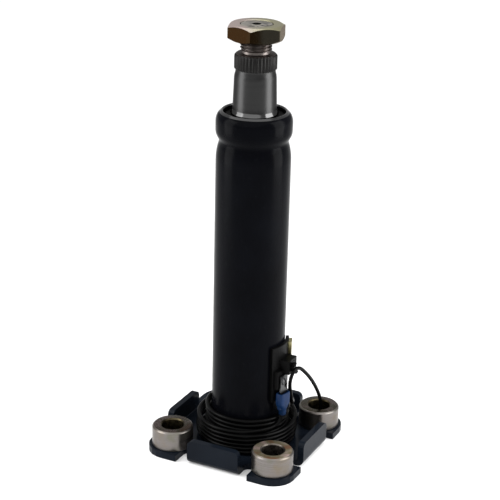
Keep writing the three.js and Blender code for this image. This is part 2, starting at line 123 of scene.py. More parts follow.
def lathe(name, profile, columns=ROUND, smooth_angle=32):
    """A closed ring turned round Z; its section's (radius, height) pairs go round anticlockwise."""
    points = []
    for r, z in profile:
        for j in range(columns):
            angle = 2 * math.pi * j / columns
            radius = at(r, angle)
            points.append((radius * math.cos(angle), radius * math.sin(angle), at(z, angle)))
    return mesh_object(name, points, grid_faces(len(profile), columns, True), smooth_angle)


def arc(cx, cz, r, start, end, steps):
    """Points of an arc in a turned profile, from start to end degrees."""
    found = []
    for i in range(steps + 1):
        angle = math.radians(start + (end - start) * i / steps)
        found.append((cx + r * math.cos(angle), cz + r * math.sin(angle)))
    return found


def loft(name, sections, smooth_angle=40):
    """A closed skin over sections, each a ring of as many points; the first and last are capped."""
    columns = len(sections[0])
    points = [p for section in sections for p in section]
    faces = grid_faces(len(sections), columns, False)
    faces.append(tuple(reversed(range(columns))))
    faces.append(tuple(range(len(points) - columns, len(points))))
    return mesh_object(name, points, faces, smooth_angle)


def super_ring(half_x, half_y, z, power, columns=48):
    """A ring between an ellipse (power 2) and a rectangle (a high power)."""
    ring = []
    for j in range(columns):
        angle = 2 * math.pi * j / columns
        c, s = math.cos(angle), math.sin(angle)
        x = half_x * math.copysign(abs(c) ** (2 / power), c)
        y = half_y * math.copysign(abs(s) ** (2 / power), s)
        ring.append((x, y, z))
    return ring


def bevel(obj, width):
    """Rounds the edges that are sharper than 30 degrees."""
    modifier = obj.modifiers.new("edges", "BEVEL")
    modifier.width = width * MM
    modifier.segments = 3
    modifier.limit_method = "ANGLE"
    modifier.angle_limit = math.radians(30)
    modifier.harden_normals = False


def cut(obj, tool):
    """obj with the tool's shape taken out of it; the tool is used up."""
    modifier = obj.modifiers.new("cut", "BOOLEAN")
    modifier.operation = "DIFFERENCE"
    modifier.solver = "EXACT"
    modifier.object = tool
    bpy.context.view_layer.update()
    done = bpy.data.meshes.new_from_object(obj.evaluated_get(bpy.context.evaluated_depsgraph_get()))
    obj.modifiers.clear()
    obj.data = done
    bpy.data.objects.remove(tool)
    soften(done)
    return obj


def box_tool(low, high):
    """A plain box to cut with, between two corners in millimetres."""
    (x0, y0, z0), (x1, y1, z1) = low, high
    points = [(x, y, z) for z in (z0, z1) for x, y in ((x0, y0), (x1, y0), (x1, y1), (x0, y1))]
    faces = [(3, 2, 1, 0), (4, 5, 6, 7), (0, 1, 5, 4), (1, 2, 6, 5), (2, 3, 7, 6), (3, 0, 4, 7)]
    return mesh_object("tool", points, faces)


def low_mm(node):
    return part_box(node)[0] / MM


def high_mm(node):
    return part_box(node)[1] / MM


def place(obj, body, *nodes, slot=None):
    """obj rides on a body, and stands for CAD nodes."""
    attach(obj, body)
    if nodes:
        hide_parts(*nodes)
    return obj


# ---- materials ----------------------------------------------------------------------------


class Paint:
    """A material under construction: its shader, and short ways to add nodes to it."""

    def __init__(self, name, **sockets):
        self.material = bpy.data.materials.new(name)
        self.material.use_nodes = True
        self.nodes = self.material.node_tree.nodes
        self.links = self.material.node_tree.links
        self.shader = self.nodes["Principled BSDF"]
        for key, value in sockets.items():
            self.shader.inputs[key.replace("_", " ")].default_value = value
        self.place = self.nodes.new("ShaderNodeTexCoord").outputs["Object"]
        self.bumps = []

    def link(self, source, target):
        self.links.new(source, target)

    def stretched(self, scale):
        node = self.nodes.new("ShaderNodeMapping")
        node.inputs["Scale"].default_value = scale
        self.link(self.place, node.inputs["Vector"])
        return node.outputs["Vector"]

    def noise(self, scale, detail=3, stretch=None, distortion=0.0):
        node = self.nodes.new("ShaderNodeTexNoise")
        node.inputs["Scale"].default_value = scale
        node.inputs["Detail"].default_value = detail
        node.inputs["Roughness"].default_value = 0.55
        node.inputs["Distortion"].default_value = distortion
        self.link(self.stretched(stretch) if stretch else self.place, node.inputs["Vector"])
        return node.outputs["Fac"]

    def ramp(self, source, *stops):
        """Colours or brightnesses at places from 0 to 1 along the source."""
        node = self.nodes.new("ShaderNodeValToRGB")
        elements = node.color_ramp.elements
        while len(elements) > 1:
            elements.remove(elements[0])
        elements[0].position = stops[0][0]
        elements[0].color = grey(stops[0][1])
        for where, value in stops[1:]:
            elements.new(where).color = grey(value)
        self.link(source, node.inputs["Fac"])
        return node.outputs["Color"]

    def mix(self, share, a, b):
        """A colour between a and b, each a colour or another node's output."""
        node = self.nodes.new("ShaderNodeMix")
        node.data_type = "RGBA"
        for value, socket in ((share, node.inputs[0]), (a, node.inputs[6]), (b, node.inputs[7])):
            if isinstance(value, bpy.types.NodeSocket):
                self.link(value, socket)
            else:
                socket.default_value = grey(value) if socket != node.inputs[0] else value
        return node.outputs[2]

    def math(self, operation, a, b):
        node = self.nodes.new("ShaderNodeMath")
        node.operation = operation
        for value, socket in ((a, node.inputs[0]), (b, node.inputs[1])):
            if isinstance(value, bpy.types.NodeSocket):
                self.link(value, socket)
            else:
                socket.default_value = value
        return node.outputs[0]

    def along(self, direction, reach):
        """The place along a direction: 0 at -reach millimetres from the axis, and 1 at +reach."""
        node = self.nodes.new("ShaderNodeVectorMath")
        node.operation = "DOT_PRODUCT"
        self.link(self.place, node.inputs[0])
        node.inputs[1].default_value = Vector(direction) * 0.5 / (reach * MM)
        return self.math("ADD", node.outputs["Value"], 0.5)

    def colour(self, source):
        self.link(source, self.shader.inputs["Base Color"])

    def roughness(self, source):
        self.link(source, self.shader.inputs["Roughness"])

    def bump(self, source, strength, distance):
        node = self.nodes.new("ShaderNodeBump")
        node.inputs["Strength"].default_value = strength
        node.inputs["Distance"].default_value = distance * MM
        self.link(source, node.inputs["Height"])
        if self.bumps:
            self.link(self.bumps[-1], node.inputs["Normal"])
        self.bumps.append(node.outputs["Normal"])
        self.link(node.outputs["Normal"], self.shader.inputs["Normal"])

    def on(self, *objects):
        for obj in objects:
            obj.data.materials.clear()
            obj.data.materials.append(self.material)
        return self.material


def paint_faces(obj, paint, test):
    """Gives a second finish to the faces whose middle, in millimetres, passes the test."""
    slot = len(obj.data.materials)
    obj.data.materials.append(paint.material)
    for face in obj.data.polygons:
        if test(face.center / MM, face.normal):
            face.material_index = slot


def grey(value):
    """An RGBA colour from one brightness or from three parts."""
    return (value, value, value, 1) if isinstance(value, (int, float)) else (*value, 1)


def black_paint(name, low, high, sheen):
    """Satin black enamel: an orange-peel skin with faint, paler scuffs."""
    paint = Paint(name, IOR=1.45, Specular_IOR_Level=sheen)
    base = paint.ramp(paint.noise(45, detail=4), (0.3, low), (0.7, high))
    scuffs = paint.ramp(paint.noise(420, detail=5), (0.62, 0.0), (0.85, 0.3))
    paint.colour(paint.mix(scuffs, base, (0.012, 0.013, 0.015)))
    paint.roughness(paint.ramp(paint.noise(160, detail=5), (0.3, 0.15), (0.7, 0.24)))
    paint.bump(paint.noise(900, detail=2), 0.12, 0.05)
    paint.bump(paint.noise(5200, detail=2), 0.05, 0.02)
    return paint


def turned_zinc():
    """Bright zinc on a turned sleeve: fine rings from the tool, and a warm, cloudy film."""
    paint = Paint("turned_zinc", Metallic=1.0)
    cloud = paint.noise(120, detail=4)
    olive, pale, warm = (0.145, 0.14, 0.115), (0.17, 0.155, 0.15), (0.165, 0.14, 0.11)
    film = paint.ramp(cloud, (0.3, olive), (0.5, pale), (0.7, warm))
    rings = paint.noise(900, detail=3, stretch=(0.02, 0.02, 4.0))
    shade = paint.ramp(rings, (0.35, 0.0), (0.65, 0.35))
    paint.colour(paint.mix(shade, film, (0.115, 0.105, 0.09)))
    paint.roughness(paint.ramp(rings, (0.3, 0.26), (0.7, 0.38)))
    paint.bump(rings, 0.08, 0.03)
    return paint


def painted_reflection_zinc(name, bright, rough=0.27):
    """Painted reflection on a sleeve's cut end: darker than the side, in brown and rosy patches."""
    paint = Paint(name, Metallic=1.0)
    patches = paint.noise(95, detail=3, distortion=0.8)
    reflected_colours = ((0.05, 0.026, 0.014), (0.055, 0.05, 0.032), (0.12, 0.09, 0.082))
    brown, olive, rosy = (Vector(colour) * bright for colour in reflected_colours)
    tint = paint.ramp(patches, (0.36, brown), (0.48, olive), (0.62, rosy))
    grain = paint.noise(2200, detail=3)
    paint.colour(paint.mix(paint.ramp(grain, (0.4, 0.0), (0.7, 0.35)), tint, (0.05, 0.045, 0.035)))
    paint.roughness(paint.ramp(grain, (0.3, rough * 0.75), (0.7, rough * 1.25)))
    paint.bump(grain, 0.1, 0.03)
    return paint


def shaded_bore(name, low, high):
    """Painted shade inside a sleeve's bore: dark, yellowish metal."""
    paint = Paint(name, Metallic=1.0)
    paint.colour(paint.ramp(paint.noise(260, detail=4), (0.35, low), (0.65, high)))
    paint.roughness(paint.ramp(paint.noise(700, detail=3), (0.3, 0.22), (0.7, 0.4)))
    return paint


# on the nut's flats this change of colour is painted shade
ACROSS_NUT = (0.9, 0.43, 0), 15  # the direction in which the nut's colour changes, and how far out


def faced_nut():
    """The nut's faced top: yellow-passivated zinc, rosy on one side and straw on the other."""
    paint = Paint("faced_nut", Metallic=1.0)
    patches = paint.noise(150, detail=3, distortion=0.6)
    across = paint.math("ADD", paint.along(*ACROSS_NUT), paint.math("MULTIPLY", patches, 0.4))
    rosy, pale, straw = (0.62, 0.50, 0.47), (0.46, 0.42, 0.35), (0.40, 0.38, 0.24)
    tint = paint.ramp(across, (0.4, rosy), (0.62, pale), (0.85, straw))
    grain = paint.noise(2600, detail=3)
    paint.colour(paint.mix(paint.ramp(grain, (0.4, 0.0), (0.7, 0.3)), tint, (0.22, 0.19, 0.12)))
    paint.roughness(paint.ramp(grain, (0.3, 0.3), (0.7, 0.46)))
    paint.bump(grain, 0.1, 0.03)
    return paint


def shaded_nut_sides():
    """Painted shade on the nut's flats: dark zinc, brown on one side and olive grey on the other.
    """
    paint = Paint("shaded_nut_sides", Metallic=1.0, Specular_Tint=(0.85, 0.76, 0.66, 1))
    clouds = paint.noise(130, detail=4, distortion=0.8)
    wander = paint.math("MULTIPLY", paint.math("SUBTRACT", clouds, 0.5), 0.7)
    across = paint.math("ADD", paint.along(*ACROSS_NUT), wander)
    brown, umber, olive = (0.0095, 0.0042, 0.0012), (0.0105, 0.0065, 0.003), (0.022, 0.020, 0.015)
    tint = paint.ramp(across, (0.3, brown), (0.52, umber), (0.64, olive))
    grain = paint.noise(1900, detail=4)
    paint.colour(paint.mix(paint.ramp(grain, (0.5, 0.0), (0.75, 0.3)), tint, (0.026, 0.019, 0.010)))
    paint.roughness(paint.ramp(grain, (0.3, 0.24), (0.7, 0.42)))
    paint.bump(grain, 0.16, 0.04)
    return paint


def ground_steel(name, low, high, oil, rough=0.32):
    """Cylindrically ground, oiled steel: very fine rings, and darker patches of oil."""
    paint = Paint(name, Metallic=1.0, Specular_Tint=grey(0.5))
    rings = paint.noise(2600, detail=3, stretch=(0.02, 0.02, 2.0))
    film = paint.noise(60, detail=3, distortion=0.4)
    metal = paint.ramp(rings, (0.3, low), (0.7, high))
    paint.colour(paint.mix(paint.ramp(film, (0.5, 0.0), (0.8, 0.4)), metal, oil))
    paint.roughness(paint.ramp(rings, (0.3, rough * 0.9), (0.7, rough * 1.1)))
    paint.bump(rings, 0.03, 0.01)
    return paint


def stained_end():
    """The shaft's faced end: dull steel with dark stains."""
    paint = Paint("stained_end", Metallic=1.0)
    stains = paint.noise(210, detail=3, distortion=1.2)
    dark, dull, pale = (0.09, 0.085, 0.08), (0.30, 0.28, 0.25), (0.52, 0.49, 0.43)
    paint.colour(paint.ramp(stains, (0.4, dark), (0.5, dull), (0.62, pale)))
    paint.roughness(paint.ramp(stains, (0.3, 0.28), (0.7, 0.42)))
    paint.bump(paint.noise(2600, detail=3), 0.1, 0.02)
    return paint


def plain_metal(name, low, high, rough):
    """A metal with a fine satin grain and clouded brightness between two colours."""
    paint = Paint(name, Metallic=1.0)
    paint.colour(paint.ramp(paint.noise(140, detail=4), (0.3, low), (0.7, high)))
    grain = paint.noise(3200, detail=3)
    paint.roughness(paint.ramp(grain, (0.3, rough * 0.8), (0.7, rough * 1.25)))
    paint.bump(grain, 0.08, 0.02)
    return paint


def moulded(name, low, high, rough, spark=2400, **sockets):
    """A moulded plastic or rubber with a fine grain."""
    paint = Paint(name, **sockets)
    paint.colour(paint.ramp(paint.noise(110, detail=4), (0.3, low), (0.7, high)))
    grain = paint.noise(spark, detail=3)
    paint.roughness(paint.ramp(grain, (0.3, rough * 0.85), (0.7, rough * 1.15)))
    paint.bump(grain, 0.18, 0.03)
    return paint


TUBE_PAINT = black_paint("tube_paint", (0.0013, 0.0014, 0.002), (0.0022, 0.0025, 0.0037), 0.026)
RIM_PAINT = black_paint("rim_paint", (0.0015, 0.0016, 0.002), (0.0025, 0.0027, 0.0034), 0.8)
BASE_PAINT = black_paint("base_paint", (0.0035, 0.005, 0.008), (0.0055, 0.0078, 0.012), 0.065)
ZINC = turned_zinc()
# painted reflection on the sleeves' ends: a darker copy, and a paler one for the front sleeve
DARK_REFLECTION_ZINC = painted_reflection_zinc("painted_reflection_zinc", 1.0)
PALE_REFLECTION_ZINC = painted_reflection_zinc("pale_reflection_zinc", 5.2, rough=0.5)
# painted shade in the sleeves' bores: a darker copy, and a lighter one for the front sleeve
DARK_BORE_SHADE = shaded_bore("dark_bore_shade", (0.03, 0.024, 0.012), (0.085, 0.07, 0.04))
LIGHT_BORE_SHADE = shaded_bore("light_bore_shade", (0.05, 0.042, 0.035), (0.14, 0.125, 0.11))
FACED_NUT = faced_nut()
SHADED_NUT_SIDES = shaded_nut_sides()
STEEL = ground_steel("ground_steel", 0.036, 0.041, 0.028)
DARK_STEEL = ground_steel(
    "serration_steel", (0.014, 0.0137, 0.0135), (0.021, 0.0205, 0.020), 0.009, rough=0.4
)
# painted highlight: the slinger's fillet gets a copy of the shaft's steel about twice as bright
FILLET_HIGHLIGHT_STEEL = ground_steel("fillet_highlight_steel", 0.07, 0.09, 0.035, rough=0.12)
# a paler, brownish copy of the shaft's steel for the thread and the serration's top shoulder;
THREAD_AND_SHOULDER_LIGHT_STEEL = ground_steel(
    # on the upward-facing shoulder it is painted light
    "thread_and_shoulder_light_steel", (0.10, 0.088, 0.083), (0.16, 0.14, 0.13), (0.06, 0.05, 0.046), rough=0.34
)
SHADE_STEEL = plain_metal("shaded_steel", 0.004, 0.009, 0.4)
STAINED_END = stained_end()
SPRING_STEEL = plain_metal("spring_steel", 0.16, 0.24, 0.3)
BRIGHT_STEEL = plain_metal("bright_steel", 0.3, 0.4, 0.2)
BRASS = plain_metal("brass", (0.26, 0.22, 0.10), (0.38, 0.35, 0.18), 0.34)
TINNED = plain_metal("tinned_brass", (0.045, 0.046, 0.048), (0.095, 0.097, 0.099), 0.3)
BLACK_PLASTIC = moulded("black_plastic", 0.0012, 0.0024, 0.42, Specular_IOR_Level=0.05)
NYLON = moulded("natural_nylon", (0.45, 0.41, 0.32), (0.56, 0.52, 0.43), 0.5, Subsurface_Weight=0.1)
RUBBER = moulded("seal_rubber", 0.0012, 0.0025, 0.5, Specular_IOR_Level=0.06)
CARBON = moulded("carbon", (0.03, 0.024, 0.02), (0.07, 0.06, 0.052), 0.5, Metallic=0.4)
BLUES = (0.002, 0.0105, 0.034), (0.006, 0.021, 0.068)
BLUE_PLASTIC = moulded("blue_insulation", *BLUES, 0.34, spark=1200, Specular_IOR_Level=0.1)
JACKET = moulded("lead_jacket", 0.0005, 0.0012, 0.32, spark=1800, Specular_IOR_Level=0.055)

# ---- the horn lead ------------------------------------------------------------------------

LEAD_D = 2.0
TAB_ANGLE = math.radians(-13)
TAB_R = 23.7
LEAD_TAIL = [  # in millimetres, from the coil over the hook and into the right spacer's bore
    (22.6, 9.4, 23.2),
    (23.3, 6.6, 23.5),
    (23.8, 4.4, 24.9),
    (24.1, 3, 27.6),
    (24.4, 1.9, 31.2),
    (25, -0.8, 35.6),
    (25.9, -3.7, 39.6),
    (26.8, -5, 43),
    (27.3, -4.6, 46.5),
    (27.8, -1.7, 48.7),
    (28.4, 1.5, 48.5),
    (28.9, 3.4, 47),
    (29.6, 6.6, 43.6),
    (30.3, 11, 39.4),
    (30.8, 16.4, 33.4),
    (30.8, 21.4, 27.4),
    (30.3, 26, 21.9),
    (29.6, 30, 17.2),
    (28.9, 32.5, 12.4),
    (28.8, 33, 4.6),
]


def evenly(points, step):
    """The same line with its points a step apart."""
    line, left = [points[0]], step
    for a, b in zip(points, points[1:]):
        gone, whole = 0.0, (b - a).length
        while whole - gone >= left:
            gone += left
            line.append(a.lerp(b, gone / whole))
            left = step
        left -= whole - gone
    if (points[-1] - line[-1]).length < step / 2:
        line.pop()
    return [*line, points[-1]]


def relaxed(points, step, rounds):
    """The same line with its points a step apart and its corners eased; its ends stay put."""
    line = evenly(points, step)
    for _ in range(rounds):
        eased = [(a + 2 * b + c) / 4 for a, b, c in zip(line, line[1:], line[2:])]
        line = [line[0], *eased, line[-1]]
    return line


def ease(share):
    share = min(1, max(0, share))
    return share * share * (3 - 2 * share)


def around(r, angle, z):
    return Vector((r * math.cos(angle), r * math.sin(angle), z))


def lead_line():
    """Down from the terminal, round the tube in an outer and an inner layer, and over the hook."""
    low, high = low_mm("lead_coil").z, high_mm("lead_coil").z
    inner, outer, tail_r = 21.6, 26.0, 24.3
    bend, turns, per_turn = 5.4, 11, 40
    first_z, bottom, last_z = low + 13.0, low + LEAD_D / 2 + 0.2, high + 0.8
    above_weld = 8.1
    swap = 0.47  # the share of the winding in the outer layer

    route = [around(TAB_R, TAB_ANGLE, low_mm("blue_terminal").z + 1.5)]
    for step in range(7):  # a quarter turn, from straight down to level
        turned = math.radians(90 * step / 6)
        angle = TAB_ANGLE - bend * (1 - math.cos(turned)) / TAB_R
        route.append(around(TAB_R, angle, first_z + bend * (1 - math.sin(turned))))
    begin = TAB_ANGLE - bend / TAB_R
    sweep = 2 * math.pi * turns - (math.atan2(LEAD_TAIL[0][1], LEAD_TAIL[0][0]) - begin)
    count = turns * per_turn
    for i in range(1, count):
        share = i / count
        done, left = share * sweep / (2 * math.pi), (1 - share) * sweep / (2 * math.pi)
        layer = ease((share - swap) / 0.04)
        r = TAB_R + (outer - TAB_R) * ease(done / 0.2) + (inner - outer) * layer
        r += (tail_r - r) * (1 - ease(left / 0.2))
        z = first_z + (bottom - first_z) * min(1, share / swap) + (above_weld - bottom) * layer
        z += (last_z - above_weld) * max(0, share - swap) / (1 - swap)
        angle = begin - sweep * share
        calm = ease(done / 0.25) * ease(left / 0.25)
        loose = calm * (0.3 * math.sin(2.3 * angle + 0.8) + 0.22 * math.sin(3.1 * angle))
        route.append(around(r + loose, angle, z + 0.8 * loose))
    route += [Vector(p) for p in LEAD_TAIL]
    return evenly(relaxed(route, 1.2, 14), 1.2)


def lead_object(line):
    """A round tube swept along the line, with closed ends."""
    data = bpy.data.curves.new("horn_lead_line", "CURVE")
    data.dimensions = "3D"
    data.bevel_depth = LEAD_D / 2 * MM
    data.bevel_resolution = 4
    data.use_fill_caps = True
    spline = data.splines.new("POLY")
    spline.points.add(len(line) - 1)
    for point, spot in zip(spline.points, line):
        point.co = (*(spot * MM), 1)
    swept = new_object("horn_lead_line", data)
    mesh = bpy.data.meshes.new_from_object(swept)
    bpy.data.objects.remove(swept)
    mesh.name = "horn_lead"
    soften(mesh, 60)
    return new_object("horn_lead", mesh)


line = lead_line()
lead = place(
    lead_object(line), "column", "lead_start", "lead_coil", "lead_tail", slot="lead_jacket"
)
JACKET.on(lead)

# ---- the turned pieces --------------------------------------------------------------------

MOUTH_R = 15.6


def column_tube():
    """The tube with its neck and rolled bead, and the window for the brush."""
    outer = 19.0
    wall = 1.9
    top = high_mm("column_tube").z
    foot = low_mm("column_tube").z
    neck, bead = 17.5, 19.35
    neck_z = top - 15.4
    seat = 17.6
    outside = [(outer, foot), (outer, foot + 0.4)]
    outside += [(outer, foot + (neck_z - 10 - foot) * i / 12) for i in range(1, 13)]
    outside += [
        (outer - 0.04, neck_z - 8.4),
        (outer - 0.16, neck_z - 6.8),
        (outer - 0.38, neck_z - 5.2),
        (outer - 0.68, neck_z - 3.6),
        (outer - 1.02, neck_z - 2.2),
        (neck + 0.18, neck_z - 1.2),
        (neck, neck_z),
        (neck + 0.12, neck_z + 0.6),
        (neck + 0.45, neck_z + 1.4),
        (neck + 0.95, neck_z + 2.3),
        (bead - 0.45, neck_z + 3.2),
        (bead - 0.15, neck_z + 4.2),
        (bead, neck_z + 5.4),
        (bead, neck_z + 10.2),
        (bead - 0.12, neck_z + 11.2),
        (bead - 0.38, neck_z + 12.2),
        (bead - 0.75, neck_z + 13.1),
        (bead - 1.25, neck_z + 13.9),
        (bead - 1.85, neck_z + 14.5),
    ]
    lip = arc(MOUTH_R + 0.75, top - 0.75, 0.75, 80, 180, 6)
    inside = [
        (MOUTH_R, top - 1.6),
        (seat, top - 1.9),
        (seat, neck_z + 3.3),
        (neck - wall, neck_z + 1),
        (neck - wall, neck_z - 1),
        (outer - wall, neck_z - 6),
        (outer - wall, foot),
    ]
    tube = lathe("column_tube_shell", outside + lip + inside)
    half, window_z = 4.6, 49  # half the side of the brush's window, and the height of its middle
    return cut(tube, box_tool((0, -half, window_z - half), (30, half, window_z + half)))


tube = place(column_tube(), "column", "column_tube", slot="black_paint")
TUBE_PAINT.on(tube)
rim_from = high_mm("column_tube").z - 0.8
paint_faces(
    tube, RIM_PAINT, lambda spot, normal: spot.z > rim_from and spot.to_2d().length > MOUTH_R - 0.1
)


SPACER_BORE_R = 5.8


def spacer_sleeve(node):
    """A turned sleeve, its outer edge chamfered and its bore's edge broken."""
    low, high = low_mm(node), high_mm(node)
    outer = (high.x - low.x) / 2
    bore, chamfer, blend = SPACER_BORE_R, 0.85, 0.22
    profile = [(bore, low.z), (outer - 0.3, low.z), (outer, low.z + 0.3)]
    profile += [(outer, high.z - chamfer - blend), (outer - 0.05, high.z - chamfer)]
    profile += [(outer - chamfer, high.z - 0.06), (outer - chamfer - blend, high.z)]
    profile += [(bore + 0.75, high.z), (bore + 0.1, high.z - 0.5), (bore, high.z - 0.8)]
    sleeve = lathe(node + "_sleeve", profile, columns=96)
    middle_x, middle_y = (low.x + high.x) / 2 * MM, (low.y + high.y) / 2 * MM
    sleeve.data.transform(Matrix.Translation((middle_x, middle_y, 0)))
    return sleeve


# each sleeve's end takes painted reflection, and its bore painted shade
ENDS_AND_BORES = {
    "spacer_left": (DARK_REFLECTION_ZINC, DARK_BORE_SHADE),
    "spacer_front": (PALE_REFLECTION_ZINC, LIGHT_BORE_SHADE),
    "spacer_right": (DARK_REFLECTION_ZINC, DARK_BORE_SHADE),
}
for spacer, (end_reflection, bore_shade) in ENDS_AND_BORES.items():
    sleeve = place(spacer_sleeve(spacer), "column", spacer, slot="zinc_plate")
    ZINC.on(sleeve)
    axis = (low_mm(spacer) + high_mm(spacer)) / 2
    paint_faces(sleeve, end_reflection, lambda spot, normal: normal.z > 0.9)
    bore_to = SPACER_BORE_R + 0.8
    paint_faces(sleeve, bore_shade, lambda spot, normal: (spot - axis).to_2d().length < bore_to)

SHAFT_BORE_R = 2.0
SHAFT_BORE_END_Z = 45
SERRATION_TEETH = 36
THREAD_PITCH = 1.5
THREAD_R = 7.9
SLINGER_Z = 181.5
SERRATION_Z = 203.9
SERRATION_TOP_Z = 211.8


def steering_shaft():
    """The ground taper with its slinger, the serration over its undercut, and the hollow thread."""
    low, top = low_mm("steering_shaft").z, high_mm("steering_shaft").z
    bore, bore_end = SHAFT_BORE_R, SHAFT_BORE_END_Z
    journal, collar, slinger, cone_end = 8.5, 11.0, 12.0, 10.53
    clip_z, clip_top_z, collar_z, cone_z, undercut_z = 168.9, 170.3, 179.3, 185.7, 199.8

    def serration(angle):
        tooth = 0.5 + 0.5 * math.cos(SERRATION_TEETH * angle)
        return 10.15 + 0.5 * tooth**0.8

    def thread(z):
        def radius(angle):
            phase = ((z - angle / (2 * math.pi) * THREAD_PITCH) / THREAD_PITCH) % 1
            return THREAD_R - 0.8 * min(1, max(0, abs(phase - 0.5) * 2.6 - 0.15))

        return radius

    profile = [(bore, top - 0.35), (bore, bore_end + 2), (0.05, bore_end), (0.05, low)]
    profile += [(journal - 1, low), (journal, low + 1), (journal, clip_z), (journal - 0.75, clip_z)]
    profile += [(journal - 0.75, clip_top_z), (journal, clip_top_z), (journal, collar_z)]
    profile += [(collar, collar_z), (collar, SLINGER_Z), (slinger - 0.1, SLINGER_Z)]
    profile += [(slinger, SLINGER_Z + 0.1), (slinger, SLINGER_Z + 0.3)]
    for share in (i / 8 for i in range(1, 9)):
        fillet = slinger - 0.5 * ease(share) - 0.5 * share**0.6
        profile.append((fillet, SLINGER_Z + 0.3 + 2.4 * share))
    profile += [(collar - 0.03 * i, cone_z + 0.92 * i) for i in range(16)]
    for rise in (0.6 * i for i in range(1, 7)):
        profile.append((cone_end - 0.62 * ease(rise / 3.6), undercut_z + rise))
    profile += [(9.93, SERRATION_Z), (serration, SERRATION_Z + 0.4)]
    profile += [(serration, SERRATION_TOP_Z - 1.1), (9.95, SERRATION_TOP_Z - 0.3)]
    profile += [(9.5, SERRATION_TOP_Z), (THREAD_R, SERRATION_TOP_Z), (7.2, SERRATION_TOP_Z + 0.3)]
    profile += [(7.1, SERRATION_TOP_Z + 0.8), (7.1, SERRATION_TOP_Z + 1.4)]
    first, last, step = SERRATION_TOP_Z + 1.8, top - 1.0, 0.15
    count = int((last - first) / step)
    profile += [(thread(first + step * i), first + step * i) for i in range(count + 1)]
    profile += [(THREAD_R - 0.05, top - 0.9), (THREAD_R - 0.05, top - 0.1), (THREAD_R - 0.2, top)]
    profile += [(bore + 0.35, top)]
    return lathe("steering_shaft_turned", profile, columns=SERRATION_TEETH * 6, smooth_angle=40)


def in_shaft_bore(spot, normal):
    """Whether a face is inside the shaft's hollow, above its blind end."""
    return spot.to_2d().length < SHAFT_BORE_R + 0.3 and spot.z > SHAFT_BORE_END_Z + 2


shaft = place(steering_shaft(), "shaft", "steering_shaft", slot="shaft_steel")
STEEL.on(shaft)
end_z = high_mm("steering_shaft").z - 0.2
paint_faces(shaft, DARK_STEEL, lambda spot, normal: SERRATION_Z < spot.z < SERRATION_TOP_Z - 0.3)
# painted highlight on the slinger's fillet
paint_faces(shaft, FILLET_HIGHLIGHT_STEEL, lambda spot, normal: -0.1 < spot.z - SLINGER_Z < 2)
# painted light on the serration's top shoulder, and the thread's paler steel
paint_faces(shaft, THREAD_AND_SHOULDER_LIGHT_STEEL, lambda spot, normal: SERRATION_TOP_Z - 0.4 < spot.z < end_z)
paint_faces(shaft, STAINED_END, lambda spot, normal: spot.z > end_z and normal.z > 0.5)
paint_faces(shaft, SHADE_STEEL, in_shaft_bore)


def jam_nut():
    """A thin hexagon nut, chamfered on both faces."""
    low, top = low_mm("jam_nut").z, high_mm("jam_nut").z
    flat, corner, bore = 13.0, 14.85, 8.2
    corner_at = math.radians(-15.2)
    chamfer_from, slope = 12.35, math.tan(math.radians(30))

    def hexagon(angle):
        within = (angle - corner_at) % (math.pi / 3) - math.pi / 6
        return min(flat / math.cos(within), corner)

    def drop(angle):
        return (hexagon(angle) - chamfer_from) * slope

    profile = [(bore, low + 0.8), (bore + 0.8, low), (chamfer_from, low)]
    profile += [(hexagon, lambda a: low + drop(a)), (hexagon, lambda a: top - drop(a))]
    profile += [(chamfer_from, top), (bore + 0.3, top), (bore, top - 0.3)]
    return lathe("jam_nut_hexagon", profile, columns=180, smooth_angle=25)


nut = place(jam_nut(), "shaft", "jam_nut", slot="yellow_zinc")
# the flats carry painted shade
SHADED_NUT_SIDES.on(nut)
paint_faces(nut, FACED_NUT, lambda spot, normal: normal.z > 0.5)


def dust_seal():
    """The rubber seal in the mouth, with a raised lip against the shaft."""
    low, high = low_mm("dust_seal"), high_mm("dust_seal")
    inner, outer = 11.3, high.x
    profile = [(inner, low.z + 0.4), (inner + 0.5, low.z), (outer, low.z), (outer, low.z + 1.1)]
    profile += [(outer - 0.4, low.z + 1.25), (outer - 1.2, low.z + 1.2)]
    profile += [(inner + 1.6, low.z + 0.95), (inner + 0.9, low.z + 1.1)]
    profile += [(inner + 0.5, high.z), (inner + 0.1, high.z - 0.1)]
    return lathe("dust_seal_lip", profile)


RUBBER.on(place(dust_seal(), "column", "dust_seal", slot="seal_rubber"))


def weld_bead():
    """A fillet weld with the ripples of its overlapping beads."""
    low, high = low_mm("weld_bead"), high_mm("weld_bead")
    inner, beads = 19.1, 58
    leg = high.x - inner

    def ripple(angle):
        return abs(math.sin(beads / 2 * angle + 0.4 * math.sin(5 * angle)))

    def rippled(r, share):
        return lambda angle: r + share * ripple(angle)

    profile = [(inner, low.z), (rippled(inner + leg - 0.35, 0.3), low.z)]
    profile += [(rippled(inner + leg * 0.8, 0.2), low.z + leg * 0.3)]
    profile += [(rippled(inner + leg * 0.45, 0.2), low.z + leg * 0.62)]
    profile += [(inner + 0.1, high.z - 0.1), (inner, high.z)]
    return lathe("weld_bead_ripples", profile, columns=6 * beads)


BASE_PAINT.on(place(weld_bead(), "column", "weld_bead", slot="black_paint"))

# ---- the horn contact's terminal ----------------------------------------------------------


